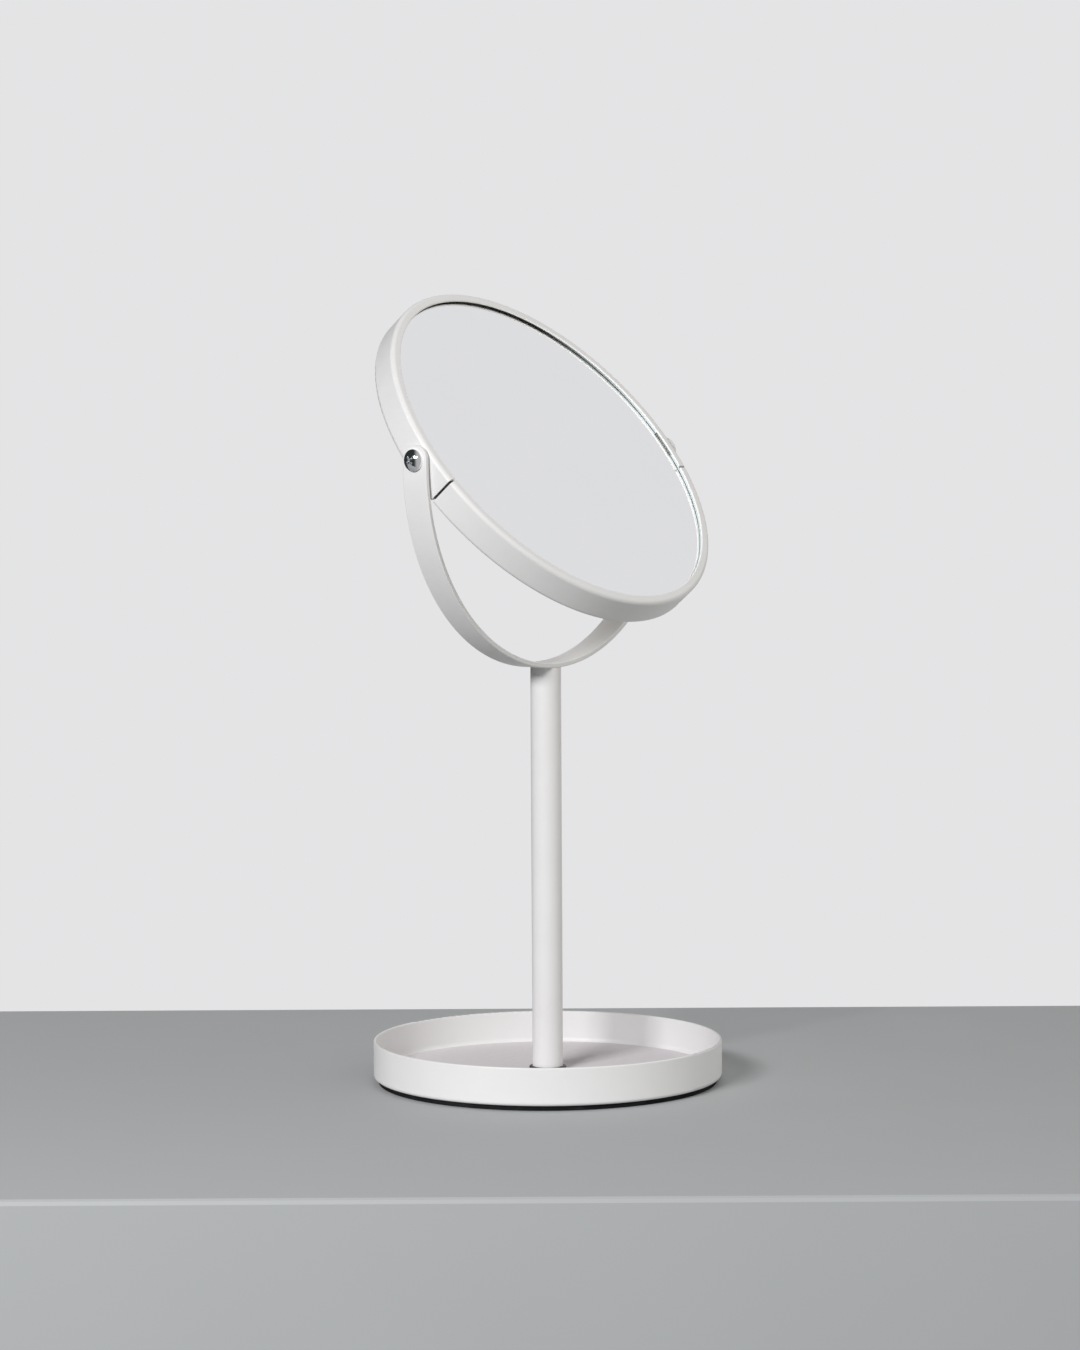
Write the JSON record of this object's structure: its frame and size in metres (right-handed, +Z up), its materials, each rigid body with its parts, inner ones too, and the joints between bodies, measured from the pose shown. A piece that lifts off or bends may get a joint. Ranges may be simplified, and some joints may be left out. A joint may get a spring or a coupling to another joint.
{
  "type": "table mirror",
  "caption": "Round double-faced mirror that tilts in a half-ring yoke on a straight stem, standing in a shallow round tray foot.",
  "frame": {"origin": "centre of the resting face under the round foot", "axes": "+Z up along the stem, X along the tilt axis, plain mirror facing -Y and upwards at rest"},
  "size_m": [0.1754, 0.145, 0.3268],
  "materials": {
    "white_powder_coat": "fine textured powder coat",
    "mirror_glass": "polished, silvered behind",
    "black_foam": "matte closed-cell foam",
    "mauve_liner": "short felt",
    "black_pad": "matte non-slip",
    "black_nylon": "matte moulded",
    "dark_chrome": "polished",
    "black_steel": "blackened, matte",
    "zinc_steel": "zinc plated",
    "natural_nylon": "translucent moulded"
  },
  "bodies": {
    "stand": {"tray": "white_powder_coat", "tray_mat": "mauve_liner", "foot_pad": "black_pad", "base_screw": "zinc_steel", "foot_spacer": "black_nylon", "stem_tube": "white_powder_coat", "stem_plug_lower": "zinc_steel", "stem_plug_upper": "zinc_steel", "yoke": "white_powder_coat", "yoke_screw": "white_powder_coat"},
    "mirror": {"ring_upper": "white_powder_coat", "ring_lower": "white_powder_coat", "pivot_nuts": "zinc_steel", "ring_joiners": "black_steel", "mirror_front": "mirror_glass", "mirror_back": "mirror_glass", "glass_spacer": "black_foam", "gasket_front": "black_foam", "gasket_back": "black_foam", "pivot_screws": "dark_chrome", "friction_washers": "natural_nylon"}
  },
  "joints": [
    {"name": "mirror_tilt", "type": "hinge", "parent": "stand", "child": "mirror", "pos_m": [0, 0, 0.26], "axis": [1, 0, 0], "continuous": true}
  ]
}
